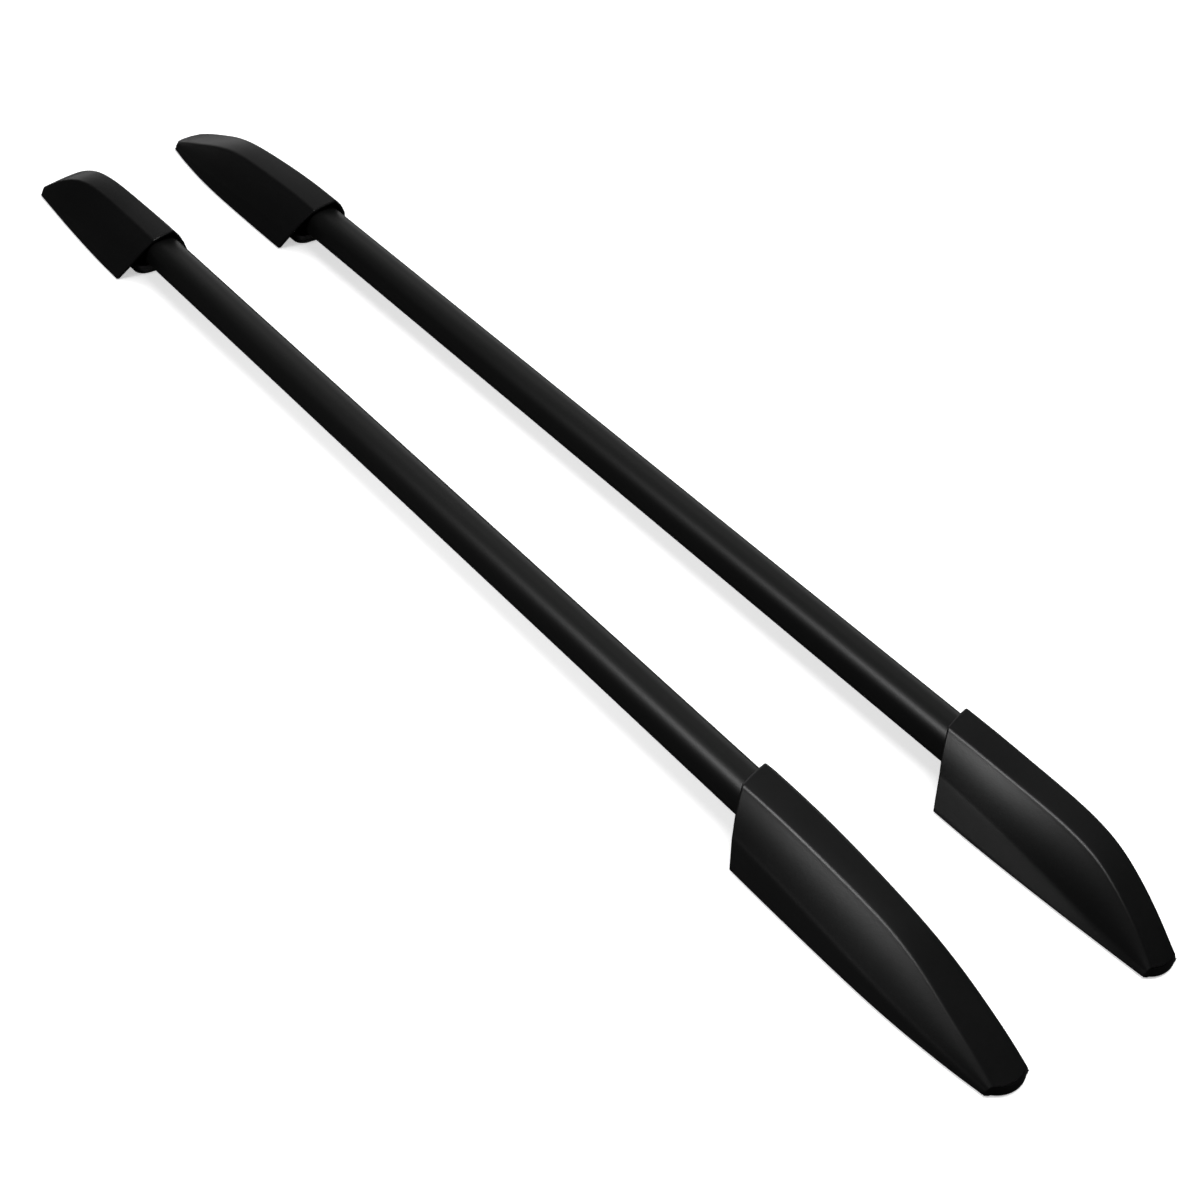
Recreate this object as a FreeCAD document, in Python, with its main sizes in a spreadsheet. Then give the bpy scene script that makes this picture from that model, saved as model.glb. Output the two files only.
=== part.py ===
"""Pair of roof rails: two oval tubes on bolted feet, each end under a moulded cover.

Each rail lies along X. Its front end has a long sleek cover and its rear end a shorter, blunter one.
The rails are a left and a right one, mirror images of each other, and they lie head to tail.
Each cover sweeps a little to its rail's outer side, which faces -Y on both.
"""
import FreeCAD, Part
import math
import os

import Sketcher
from FreeCAD import Placement, Rotation, Vector

doc = FreeCAD.newDocument("RoofRails")
sheet = doc.addObject("Spreadsheet::Sheet", "Sizes")

# Driving dimensions in millimetres
SIZES = {
    # The rails as a pair
    "mouth_distance": 1022.0,
    "mouth_offset": 18.0,
    "rail_spacing": 173.0,
    # How far the tubes lie off the middle, because all covers sweep one way
    "pair_shift": 4.2,
    # Oval tube
    "tube_width": 35.0,
    "tube_height": 39.0,
    "tube_corner": 15.0,
    "tube_wall": 2.0,
    "tube_axis": 28.2,
    "tube_entry": 70.0,
    # Covers in common
    "cover_lift": 1.0,
    "cover_wall": 2.5,
    "mouth_rake": 36.0,
    "crown_rise": 1.0,
    # How much lower the outer crease lies, as a share of the height, and how far it moves in for each drop
    "crease_drop": 0.125,
    "crease_inset": 0.74,
    # How far a cover sits to the rail's outer side at its mouth
    "mouth_sweep": 4.5,
    "tip_lift": 3.0,
    "tip_lift_length": 9.0,
    "boss_radius": 4.0,
    # Front cover: stations along it, then half widths and heights at each
    "front_mid": 95.0,
    "front_shoulder": 195.0,
    "front_nose": 262.0,
    "front_length": 322.0,
    "front_mouth_base": 41.5,
    "front_mouth_ledge": 31.0,
    "front_mouth_top": 15.5,
    "front_mouth_height": 57.2,
    "front_mid_base": 42.5,
    "front_mid_ledge": 33.0,
    "front_mid_top": 14.5,
    "front_mid_height": 55.8,
    "front_shoulder_base": 39.5,
    "front_shoulder_ledge": 33.0,
    "front_shoulder_top": 13.5,
    "front_shoulder_height": 48.0,
    "front_nose_base": 31.5,
    "front_nose_ledge": 27.5,
    "front_nose_top": 15.5,
    "front_nose_height": 29.5,
    "front_tip_base": 19.0,
    "front_tip_ledge": 18.0,
    "front_tip_top": 16.0,
    "front_tip_height": 7.5,
    "front_tip_sag": 9.0,
    # How far the front cover sweeps to the rail's outer side
    "front_shoulder_sweep": 6.5,
    "front_nose_sweep": 10.0,
    "front_tip_sweep": 14.5,
    # Rear cover
    "rear_mid": 80.0,
    "rear_shoulder": 155.0,
    "rear_nose": 205.0,
    "rear_length": 263.0,
    "rear_mouth_base": 43.0,
    "rear_mouth_ledge": 29.0,
    "rear_mouth_top": 14.0,
    "rear_mouth_height": 57.2,
    "rear_mid_base": 43.0,
    "rear_mid_ledge": 30.5,
    "rear_mid_top": 13.5,
    "rear_mid_height": 57.0,
    "rear_shoulder_base": 37.5,
    "rear_shoulder_ledge": 29.0,
    "rear_shoulder_top": 13.0,
    "rear_shoulder_height": 56.0,
    "rear_nose_base": 29.0,
    "rear_nose_ledge": 24.5,
    "rear_nose_top": 12.5,
    "rear_nose_height": 44.0,
    "rear_tip_base": 15.5,
    "rear_tip_ledge": 14.5,
    "rear_tip_top": 12.0,
    "rear_tip_height": 8.0,
    "rear_tip_sag": 6.0,
    # How far the rear cover sweeps to the rail's outer side
    "rear_shoulder_sweep": 7.0,
    "rear_nose_sweep": 12.5,
    "rear_tip_sweep": 22.0,
    # Height of the ledge line along a cover
    "mouth_ledge_height": 21.0,
    "mid_ledge_height": 19.0,
    "shoulder_ledge_height": 13.0,
    "nose_ledge_height": 8.0,
    "tip_ledge_height": 3.5,
    # The same on the inner side, where the skirt reaches higher to clear the tube
    "mouth_inner_ledge": 34.0,
    "mid_inner_ledge": 27.0,
    "shoulder_inner_ledge": 14.0,
    "nose_inner_ledge": 8.0,
    "tip_inner_ledge": 3.5,
    # Feet
    "plate_lead": 37.0,
    "plate_half_width": 22.0,
    "plate_thickness": 5.5,
    "plate_corner": 10.0,
    "front_plate_end": 212.0,
    "rear_plate_end": 165.0,
    "post_length": 20.0,
    "post_half_width": 12.0,
    "spigot_length": 48.0,
    "spigot_clearance": 0.2,
    # Gaskets under the feet
    "gasket_thickness": 2.5,
    "gasket_margin": 1.5,
    # Holes for the roof bolts
    "bolt_hole": 8.5,
    "front_bolt_middle": 165.0,
    "front_bolt_spacing": 60.0,
    "rear_bolt_middle": 137.0,
    "rear_bolt_spacing": 36.0,
    # Screws that hold the tube on the spigot
    "tube_screw": 5.0,
    "tube_screw_head": 9.0,
    "tube_screw_head_height": 2.4,
    "tube_screw_length": 14.0,
    "tube_screw_back": 12.0,
    "tube_screw_pitch": 16.0,
    "access_hole": 11.0,
    # Screws that hold a cover on its foot
    "cover_screw": 4.0,
    "cover_screw_head": 8.0,
    "cover_screw_head_height": 2.4,
    "cover_screw_length": 18.0,
    "counterbore": 9.0,
    "counterbore_depth": 2.6,
    "screw_clearance": 0.1,
    "front_boss_first": 112.0,
    "front_boss_second": 165.0,
    "rear_boss_first": 102.0,
    "rear_boss_second": 130.0,
}

for row, (alias, length) in enumerate(SIZES.items(), start=1):
    sheet.set(f"A{row}", alias)
    sheet.set(f"B{row}", str(length))
    sheet.setAlias(f"B{row}", alias)
doc.recompute()


class Size:
    """A length with the formula that keeps it tied to the sheet."""

    def __init__(self, value, formula):
        self.value = value
        self.formula = formula

    def joined(self, other, sign, value):
        return Size(value, f"({self.formula} {sign} {as_size(other).formula})")

    def __add__(self, other):
        return self.joined(other, "+", self.value + as_size(other).value)

    def __sub__(self, other):
        return self.joined(other, "-", self.value - as_size(other).value)

    def __mul__(self, other):
        if isinstance(other, Size):
            return Size(self.value * other.value, f"({self.formula} * {other.formula})")
        return Size(self.value * other, f"({self.formula} * {other})")

    def __neg__(self):
        return Size(-self.value, f"(-{self.formula})")


def as_size(item):
    """Turns a plain number into a length without a sheet cell."""
    if isinstance(item, Size):
        return item
    return Size(float(item), f"{item} mm")


def size(alias):
    """Looks a driving dimension up in the sheet."""
    return Size(float(sheet.get(alias)), f"{sheet.Name}.{alias} * 1 mm")


def share(alias):
    """Looks a plain factor up in the sheet."""
    return Size(float(sheet.get(alias)), f"{sheet.Name}.{alias}")


def bind(item, name, length):
    """Ties a property of a feature to a length."""
    item.setExpression(name, length.formula)


def new_body(label):
    """Starts a PartDesign body for one piece."""
    body = doc.addObject("PartDesign::Body", label)
    body.Label = label
    return body


def new_sketch(body, name, plane, offset=None):
    """Makes a sketch on one of the body's own origin planes, moved along the plane's normal."""
    sketch = body.newObject("Sketcher::SketchObject", name)
    support = next(item for item in body.Origin.OriginFeatures if item.Role == plane)
    sketch.AttachmentSupport = (support, [""])
    sketch.MapMode = "FlatFace"
    if offset is not None:
        bind(sketch, "AttachmentOffset.Base.z", offset)
    return sketch


def pin(sketch, geo, point, across, up):
    """Fixes a point of a sketch by its two distances from the sketch's origin."""
    for kind, axis, length in (("DistanceX", -2, across), ("DistanceY", -1, up)):
        if length is None:
            sketch.addConstraint(Sketcher.Constraint("PointOnObject", geo, point, axis))
            continue
        ends = (-1, 1, geo, point) if length.value > 0 else (geo, point, -1, 1)
        number = sketch.addConstraint(Sketcher.Constraint(kind, *ends, abs(length.value)))
        bind(sketch, f"Constraints[{number}]", length if length.value > 0 else -length)


def spot(across, up):
    """Gives the start position of a sketch point."""
    return Vector(across.value if across else 0.0, up.value if up else 0.0, 0.0)


def add_polygon(sketch, points):
    """Draws a closed outline of straight lines through (across, up) lengths."""
    count = len(points)
    first = sketch.GeometryCount
    for index, point in enumerate(points):
        following = points[(index + 1) % count]
        sketch.addGeometry(Part.LineSegment(spot(*point), spot(*following)))
    for index in range(count):
        following = first + (index + 1) % count
        sketch.addConstraint(Sketcher.Constraint("Coincident", first + index, 2, following, 1))
    for index, point in enumerate(points):
        pin(sketch, first + index, 1, *point)


def add_circle(sketch, across, up, diameter):
    """Draws a circle about a point on or off the axes."""
    circle = Part.Circle(spot(across, up), Vector(0, 0, 1), diameter.value / 2)
    geo = sketch.addGeometry(circle)
    number = sketch.addConstraint(Sketcher.Constraint("Diameter", geo, diameter.value))
    bind(sketch, f"Constraints[{number}]", diameter)
    pin(sketch, geo, 3, across, up)


def add_rounded_box(sketch, left, right, low, high, radius):
    """Draws a rectangle with four equal round corners."""
    x0, x1, y0, y1, r = left.value, right.value, low.value, high.value, radius.value
    corners = ((x1 - r, y0 + r, -90), (x1 - r, y1 - r, 0), (x0 + r, y1 - r, 90), (x0 + r, y0 + r, 180))
    sides = (
        ((x0 + r, y0), (x1 - r, y0)),
        ((x1, y0 + r), (x1, y1 - r)),
        ((x1 - r, y1), (x0 + r, y1)),
        ((x0, y1 - r), (x0, y0 + r)),
    )
    first = sketch.GeometryCount
    for (start, end), (cx, cy, angle) in zip(sides, corners):
        sketch.addGeometry(Part.LineSegment(Vector(*start, 0), Vector(*end, 0)))
        circle = Part.Circle(Vector(cx, cy, 0), Vector(0, 0, 1), r)
        turn = math.radians(angle)
        sketch.addGeometry(Part.ArcOfCircle(circle, turn, turn + math.pi / 2))
    for side in range(4):
        line = first + 2 * side
        following = first + (2 * side + 2) % 8
        sketch.addConstraint(Sketcher.Constraint("Tangent", line, 2, line + 1, 1))
        sketch.addConstraint(Sketcher.Constraint("Tangent", line + 1, 2, following, 1))
    for side, kind in enumerate(("Horizontal", "Vertical", "Horizontal", "Vertical")):
        sketch.addConstraint(Sketcher.Constraint(kind, first + 2 * side))
    for side in range(1, 4):
        sketch.addConstraint(Sketcher.Constraint("Equal", first + 1, first + 2 * side + 1))
    number = sketch.addConstraint(Sketcher.Constraint("Radius", first + 1, r))
    bind(sketch, f"Constraints[{number}]", radius)
    for geo, kind, length in ((0, "DistanceY", low), (2, "DistanceX", right),
                              (4, "DistanceY", high), (6, "DistanceX", left)):
        ends = (-1, 1, first + geo, 1) if length.value > 0 else (first + geo, 1, -1, 1)
        number = sketch.addConstraint(Sketcher.Constraint(kind, *ends, abs(length.value)))
        bind(sketch, f"Constraints[{number}]", length if length.value > 0 else -length)


def add_section(sketch, outline, inner_ledge, rise, shift, hand):
    """Draws a cover's cross-section: flared skirt, ledge line, sloping side and crowned, leaning top.

    The outline gives the half width and height of the skirt's foot, the ledge and the crease, from a centre
    that lies the shift away from the tube's axis. The outer side's crease is lower and further in, and the
    inner side's ledge has a height of its own.
    """
    top, height = outline[-1]
    drop = height * share("crease_drop")
    low_crease = (top - drop * share("crease_inset"), height - drop)
    foot, ledge = outline[:-1]
    outer_side = [foot, ledge, low_crease]
    inner_side = [foot, (ledge[0], inner_ledge), (top, height)]
    right_side, left_side = (inner_side, outer_side) if hand > 0 else (outer_side, inner_side)
    right = [(width - shift, up) for width, up in right_side]
    left = [(-(width + shift), up) for width, up in reversed(left_side)]
    crest = ((right[-1][0] + left[0][0]) * 0.5, height - drop * 0.5 + rise)
    chain = right + left
    crown = len(right) - 1
    for index, point in enumerate(chain):
        start = spot(*point)
        finish = spot(*chain[(index + 1) % len(chain)])
        if index == crown:
            sketch.addGeometry(Part.Arc(start, spot(*crest), finish))
        else:
            sketch.addGeometry(Part.LineSegment(start, finish))
    for index in range(len(chain)):
        sketch.addConstraint(Sketcher.Constraint("Coincident", index, 2, (index + 1) % len(chain), 1))
    for index, point in enumerate(chain):
        if index != crown:
            pin(sketch, index, 1, *point)
    pin(sketch, crown - 1, 2, *chain[crown])
    crest_point = sketch.addGeometry(Part.Point(spot(*crest)), True)
    sketch.addConstraint(Sketcher.Constraint("PointOnObject", crest_point, 1, crown))
    pin(sketch, crest_point, 1, *crest)


def pad(body, sketch, length, both_ways=False, backwards=False):
    """Raises a sketch by a length, on one side of its plane or evenly on both."""
    feature = body.newObject("PartDesign::Pad", "Pad")
    feature.Profile = sketch
    bind(feature, "Length", length)
    feature.Midplane = both_ways
    feature.Reversed = backwards
    doc.recompute()
    return feature


def pad_to_skin(body, sketch):
    """Raises a sketch to the first face above it."""
    feature = body.newObject("PartDesign::Pad", "Pad")
    feature.Profile = sketch
    feature.Type = "UpToFirst"
    doc.recompute()
    return feature


def pocket(body, sketch, both_ways=True):
    """Cuts a sketch right through the body and makes sure that something was cut."""
    before = body.Shape.Volume
    feature = body.newObject("PartDesign::Pocket", "Pocket")
    feature.Profile = sketch
    feature.Type = "ThroughAll"
    feature.Midplane = both_ways
    doc.recompute()
    if body.Shape.Volume >= before:
        raise RuntimeError(f"{body.Label}: a pocket cut nothing")
    return feature


def blind_pocket(body, sketch, depth, backwards):
    """Cuts a sketch to a depth and makes sure that something was cut."""
    before = body.Shape.Volume
    feature = body.newObject("PartDesign::Pocket", "Pocket")
    feature.Profile = sketch
    bind(feature, "Length", depth)
    feature.Reversed = backwards
    doc.recompute()
    if body.Shape.Volume >= before:
        raise RuntimeError(f"{body.Label}: a blind pocket cut nothing")
    return feature


def loft(body, kind, sketches, straight=False):
    """Joins sections by a smooth or a straight skin, added to the body or cut from it."""
    feature = body.newObject(f"PartDesign::{kind}", kind)
    feature.Profile = sketches[0]
    feature.Sections = sketches[1:]
    feature.Ruled = straight
    doc.recompute()
    return feature


STATIONS = ("mouth", "mid", "shoulder", "nose", "tip")
plate_top = size("gasket_thickness") + size("plate_thickness")
tube_floor = size("tube_axis") - size("tube_height") * 0.5
half_tube = size("tube_width") * 0.5
plate_start = size("tube_entry") - size("plate_lead")


def station_place(end, station):
    """Distance of a station from the cover's upper mouth edge."""
    if station == "mouth":
        return as_size(0)
    if station == "tip":
        return size(f"{end}_length")
    return size(f"{end}_{station}")


def smoothed(values):
    """Adds a value halfway between each two, on a smooth curve through them all.

    An inner halfway value lies on a cubic through its four neighbours, and one at either end on a parabola
    through three.
    """
    halfway = [values[0] * (3 / 8) + values[1] * (6 / 8) - values[2] * (1 / 8)]
    for before, left, right, after in zip(values, values[1:], values[2:], values[3:]):
        halfway.append((left + right) * (9 / 16) - (before + after) * (1 / 16))
    halfway.append(values[-1] * (3 / 8) + values[-2] * (6 / 8) - values[-3] * (1 / 8))
    filled = [values[0]]
    for middle, value in zip(halfway, values[1:]):
        filled += [middle, value]
    return filled


def boss_places(end):
    """Screw bosses of a cover, from its mouth."""
    return [size(f"{end}_boss_{which}") for which in ("first", "second")]


def bolt_places(end):
    """Roof bolt holes, either side of the middle of their pattern."""
    middle = size(f"{end}_bolt_middle")
    half = size(f"{end}_bolt_spacing") * 0.5
    return [middle - half, middle + half]


def tube_screw_places():
    """Tube screws, counted back from the tube's end."""
    last = size("tube_entry") - size("tube_screw_back")
    return [last - size("tube_screw_pitch"), last]


def make_tube(label):
    """Oval tube from one cover to the other, with screw holes in its flat underside."""
    body = new_body(label)
    length = size("mouth_distance") + size("tube_entry") * 2
    outline = new_sketch(body, "TubeOutline", "YZ_Plane")
    low = tube_floor
    high = size("tube_axis") + size("tube_height") * 0.5
    wall = size("tube_wall")
    add_rounded_box(outline, -half_tube, half_tube, low, high, size("tube_corner"))
    add_rounded_box(outline, wall - half_tube, half_tube - wall, low + wall, high - wall,
                    size("tube_corner") - wall)
    pad(body, outline, length, both_ways=True)
    holes = new_sketch(body, "TubeScrewHoles", "XY_Plane", tube_floor + wall * 2)
    mouth = size("mouth_distance") * 0.5
    for place in tube_screw_places():
        for side in (mouth + place, -(mouth + place)):
            add_circle(holes, side, None, size("tube_screw") + size("screw_clearance") * 2)
    blind_pocket(body, holes, wall * 3, backwards=False)
    return body


def station_shift(end, station, hand):
    """How far the cover's middle has swept away from the tube's axis at a station, with its direction."""
    if station in ("mouth", "mid"):
        return size("mouth_sweep") * hand
    return size(f"{end}_{station}_sweep") * hand


def make_cover(label, end, hand):
    """Moulded cover: a lofted shell, cut to a raked mouth and a rounded tip, with screw bosses."""
    body = new_body(label)
    wall = size("cover_wall")
    rise = size("crown_rise")
    places = smoothed([station_place(end, station) for station in STATIONS])
    shifts = smoothed([station_shift(end, station, hand) for station in STATIONS])
    bases, ledges, tops, heights = (smoothed([size(f"{end}_{station}_{part}") for station in STATIONS])
                                    for part in ("base", "ledge", "top", "height"))
    ledge_heights, inner_ledges = (smoothed([size(f"{station}_{part}") for station in STATIONS])
                                   for part in ("ledge_height", "inner_ledge"))
    outer = []
    inner = []
    stations = zip(places, shifts, bases, ledges, tops, heights, ledge_heights, inner_ledges)
    for index, (place, shift, base, ledge, top, height, ledge_height, inner_ledge) in enumerate(stations):
        section = new_sketch(body, f"Outside{index}", "YZ_Plane", place)
        add_section(section, [(base, size("cover_lift")), (ledge, ledge_height), (top, height)],
                    inner_ledge, rise, shift, hand)
        outer.append(section)
        hollow = new_sketch(body, f"Inside{index}", "YZ_Plane", place)
        add_section(hollow, [(base - wall, -wall), (ledge - wall, ledge_height), (top - wall, height - wall)],
                    inner_ledge, rise, shift, hand)
        inner.append(hollow)
    loft(body, "AdditiveLoft", outer)
    loft(body, "SubtractiveLoft", inner[:-1], straight=True)

    mouth = new_sketch(body, "RakedMouth", "XZ_Plane")
    above = size(f"{end}_mouth_height") + rise * 2
    reach = wall * 2
    add_polygon(mouth, [(-reach, -reach), (size("mouth_rake"), -reach), (size("mouth_rake"), None),
                        (None, above), (-reach, above)])
    pocket(body, mouth)

    tip = new_sketch(body, "RoundedTip", "XY_Plane")
    add_tip_outline(tip, end, hand)
    pocket(body, tip)

    lift = new_sketch(body, "LiftedTip", "XZ_Plane")
    length = size(f"{end}_length")
    add_polygon(lift, [(length - size("tip_lift_length"), -reach), (length + reach, -reach),
                       (length + reach, size("tip_lift")), (length - size("tip_lift_length"), None)])
    pocket(body, lift)

    for index, place in enumerate(boss_places(end)):
        boss = new_sketch(body, f"ScrewBoss{index}", "XY_Plane", plate_top)
        add_circle(boss, place, None, size("boss_radius") * 2)
        add_circle(boss, place, None, size("cover_screw") + size("screw_clearance") * 2)
        pad_to_skin(body, boss)
    return body


def add_tip_outline(sketch, end, hand):
    """Draws what is cut away outside the round front edge of a cover's tip."""
    length = size(f"{end}_length")
    base = size(f"{end}_tip_base")
    shift = station_shift(end, "tip", hand)
    sag = size(f"{end}_tip_sag")
    reach = size(f"{end}_mouth_base")
    ends = [(length - sag, base - shift), (length - sag, -(base + shift))]
    crest = (length, -shift)
    beyond = length + sag
    corners = [(length - sag, reach), (beyond, reach), (beyond, -reach), (length - sag, -reach)]
    chain = [ends[0]] + corners + [ends[1]]
    for here, there in zip(chain, chain[1:]):
        sketch.addGeometry(Part.LineSegment(spot(*here), spot(*there)))
    arc = sketch.addGeometry(Part.Arc(spot(*ends[1]), spot(*crest), spot(*ends[0])))
    for line in range(arc):
        sketch.addConstraint(Sketcher.Constraint("Coincident", line, 2, line + 1, 1))
    sketch.addConstraint(Sketcher.Constraint("Coincident", arc, 2, 0, 1))
    for line, corner in enumerate(chain[:-1]):
        pin(sketch, line, 1, *corner)
    pin(sketch, arc - 1, 2, *chain[-1])
    crest_point = sketch.addGeometry(Part.Point(spot(*crest)), True)
    sketch.addConstraint(Sketcher.Constraint("PointOnObject", crest_point, 1, arc))
    pin(sketch, crest_point, 1, *crest)


def add_foot_holes(body, sketch_name, offset, end, screw_hole, bolt_hole):
    """Cuts the bolt, screw and access holes that a foot and its gasket share."""
    holes = new_sketch(body, sketch_name, "XY_Plane", offset)
    for place in bolt_places(end):
        add_circle(holes, place, None, bolt_hole)
    for place in boss_places(end):
        add_circle(holes, place, None, screw_hole)
    for place in tube_screw_places():
        add_circle(holes, place, None, size("access_hole"))
    return holes


def make_foot(label, end):
    """Cast foot: base plate, a post behind the tube's end and a spigot that fills the tube."""
    body = new_body(label)
    plate = new_sketch(body, "Plate", "XY_Plane", size("gasket_thickness"))
    half = size("plate_half_width")
    add_rounded_box(plate, plate_start, size(f"{end}_plate_end"), -half, half, size("plate_corner"))
    pad(body, plate, size("plate_thickness"))
    holes = add_foot_holes(body, "PlateHoles", plate_top, end,
                           size("cover_screw") + size("screw_clearance") * 2, size("bolt_hole"))
    blind_pocket(body, holes, size("plate_thickness"), backwards=False)
    seats = new_sketch(body, "ScrewSeats", "XY_Plane", size("gasket_thickness") + size("counterbore_depth"))
    for place in boss_places(end):
        add_circle(seats, place, None, size("counterbore"))
    blind_pocket(body, seats, size("counterbore_depth"), backwards=False)

    post = new_sketch(body, "Post", "YZ_Plane", size("tube_entry"))
    post_half = size("post_half_width")
    axis = size("tube_axis")
    half_height = size("tube_height") * 0.5
    add_polygon(post, [(-post_half, size("gasket_thickness") + size("counterbore_depth")),
                       (post_half, size("gasket_thickness") + size("counterbore_depth")),
                       (post_half, axis + half_height * 0.5), (-post_half, axis + half_height * 0.5)])
    pad(body, post, size("post_length"))

    spigot = new_sketch(body, "Spigot", "YZ_Plane", size("tube_entry"))
    inset = size("tube_wall") + size("spigot_clearance")
    add_rounded_box(spigot, inset - half_tube, half_tube - inset, tube_floor + inset,
                    axis + half_height - inset, size("tube_corner") - inset)
    pad(body, spigot, size("spigot_length"), backwards=True)
    threads = new_sketch(body, "SpigotHoles", "XY_Plane", axis)
    for place in tube_screw_places():
        add_circle(threads, place, None, size("tube_screw") + size("screw_clearance") * 2)
    blind_pocket(body, threads, axis - plate_top, backwards=False)
    return body


def make_gasket(label, end):
    """Rubber pad between a foot and the roof."""
    body = new_body(label)
    outline = new_sketch(body, "Outline", "XY_Plane")
    margin = size("gasket_margin")
    half = size("plate_half_width") + margin
    add_rounded_box(outline, plate_start - margin, size(f"{end}_plate_end") + margin, -half, half,
                    size("plate_corner") + margin)
    pad(body, outline, size("gasket_thickness"))
    holes = add_foot_holes(body, "Holes", size("gasket_thickness"), end, size("counterbore"),
                           size("bolt_hole"))
    blind_pocket(body, holes, size("gasket_thickness"), backwards=False)
    return body


def make_screws(label, places, head_low, head, head_height, shank, length):
    """Pan-head screws that point up, one at each place, as one group of solids."""
    solids = []
    for index, place in enumerate(places):
        parts = []
        for kind, diameter, low, tall in (("Head", head, head_low, head_height),
                                          ("Shank", shank, head_low + head_height, length)):
            cylinder = doc.addObject("Part::Cylinder", f"{label}_{kind}_{index}")
            bind(cylinder, "Radius", diameter * 0.5)
            bind(cylinder, "Height", tall)
            bind(cylinder, "Placement.Base.x", place)
            bind(cylinder, "Placement.Base.z", low)
            parts.append(cylinder)
        screw = doc.addObject("Part::Fuse", f"{label}_{index}")
        screw.Base, screw.Tool = parts
        solids.append(screw)
    group = doc.addObject("Part::Compound", label)
    group.Label = label
    group.Links = solids
    return group


def place_piece(piece, mouth, turned):
    """Sets a piece at its mouth along the rail, turned half round where it faces the other way."""
    piece.Placement = Placement(Vector(), Rotation(Vector(0, 0, 1), 180 if turned else 0))
    bind(piece, "Placement.Base.x", mouth[0])
    bind(piece, "Placement.Base.y", mouth[1])


def make_rail(side, turned):
    """Builds one rail and returns its pieces."""
    sign = -1 if turned else 1
    lead = -size("mouth_offset")
    half = size("mouth_distance") * 0.5
    across = size("rail_spacing") * (0.5 if turned else -0.5) + size("pair_shift")
    pieces = [make_tube(f"{side}_tube")]
    place_piece(pieces[0], (lead * sign, across), turned)
    for end in ("front", "rear"):
        backwards = end == "rear"
        mouth = ((lead - half if backwards else lead + half) * sign, across)
        made = [
            make_cover(f"{side}_{end}_cover", end, -1 if turned != backwards else 1),
            make_foot(f"{side}_{end}_foot", end),
            make_gasket(f"{side}_{end}_gasket", end),
            make_screws(f"{side}_{end}_tube_screws", tube_screw_places(),
                        tube_floor - size("tube_screw_head_height"), size("tube_screw_head"),
                        size("tube_screw_head_height"), size("tube_screw"), size("tube_screw_length")),
            make_screws(f"{side}_{end}_cover_screws", boss_places(end),
                        size("gasket_thickness") + size("counterbore_depth")
                        - size("cover_screw_head_height"),
                        size("cover_screw_head"), size("cover_screw_head_height"), size("cover_screw"),
                        size("cover_screw_length")),
        ]
        for piece in made:
            place_piece(piece, mouth, turned != backwards)
        pieces += made
    return pieces


def check(pieces):
    """Stops if any feature failed or any piece has no valid shape."""
    for item in doc.Objects:
        if "Invalid" in item.State or "Error" in item.State:
            raise RuntimeError(f"{item.Name}: {item.State}")
    for piece in pieces:
        if piece.Shape.isNull() or not piece.Shape.isValid():
            raise RuntimeError(f"{piece.Label}: no valid shape")


rails = make_rail("left", turned=False) + make_rail("right", turned=True)
doc.recompute()
check(rails)
os.makedirs("parts", exist_ok=True)
for piece in rails:
    piece.Shape.exportStep(os.path.join("parts", f"{piece.Label}.step"))
    print(piece.Label, len(piece.Shape.Solids), round(piece.Shape.Volume))
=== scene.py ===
"""Looks of a pair of black roof rails: satin tubes between moulded end covers, on a white table.

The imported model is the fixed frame. The covers, tubes and screws are rebuilt here as smooth meshes in the
same place, and the feet and gaskets keep their own meshes and get a finish.
"""
import logging
import math
from dataclasses import dataclass, field
from enum import Enum
from typing import Any, Callable, Sequence

import bmesh
import bpy
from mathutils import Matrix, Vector


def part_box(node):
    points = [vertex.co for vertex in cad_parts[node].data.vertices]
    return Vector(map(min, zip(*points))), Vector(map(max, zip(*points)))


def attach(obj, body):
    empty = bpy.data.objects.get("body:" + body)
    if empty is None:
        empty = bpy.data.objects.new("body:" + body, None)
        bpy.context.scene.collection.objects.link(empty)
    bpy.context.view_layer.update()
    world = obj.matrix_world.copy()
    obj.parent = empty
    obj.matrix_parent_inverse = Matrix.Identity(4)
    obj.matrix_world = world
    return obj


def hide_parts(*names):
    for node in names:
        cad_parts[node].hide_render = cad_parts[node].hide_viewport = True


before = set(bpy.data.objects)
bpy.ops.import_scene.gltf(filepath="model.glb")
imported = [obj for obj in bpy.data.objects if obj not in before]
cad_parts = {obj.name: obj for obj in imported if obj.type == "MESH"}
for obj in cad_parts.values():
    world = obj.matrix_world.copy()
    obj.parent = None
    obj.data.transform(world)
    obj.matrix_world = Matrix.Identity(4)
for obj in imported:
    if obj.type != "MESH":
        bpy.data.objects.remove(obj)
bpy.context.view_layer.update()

LOG = logging.getLogger("roof_rails")
MM = 0.001
BODY = "root"


class End(Enum):
    """Which end of a rail a cover closes."""

    FRONT = "front"
    REAR = "rear"


class Side(Enum):
    """The two rails of the pair."""

    LEFT = "left"
    RIGHT = "right"


# Shader nodes


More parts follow.
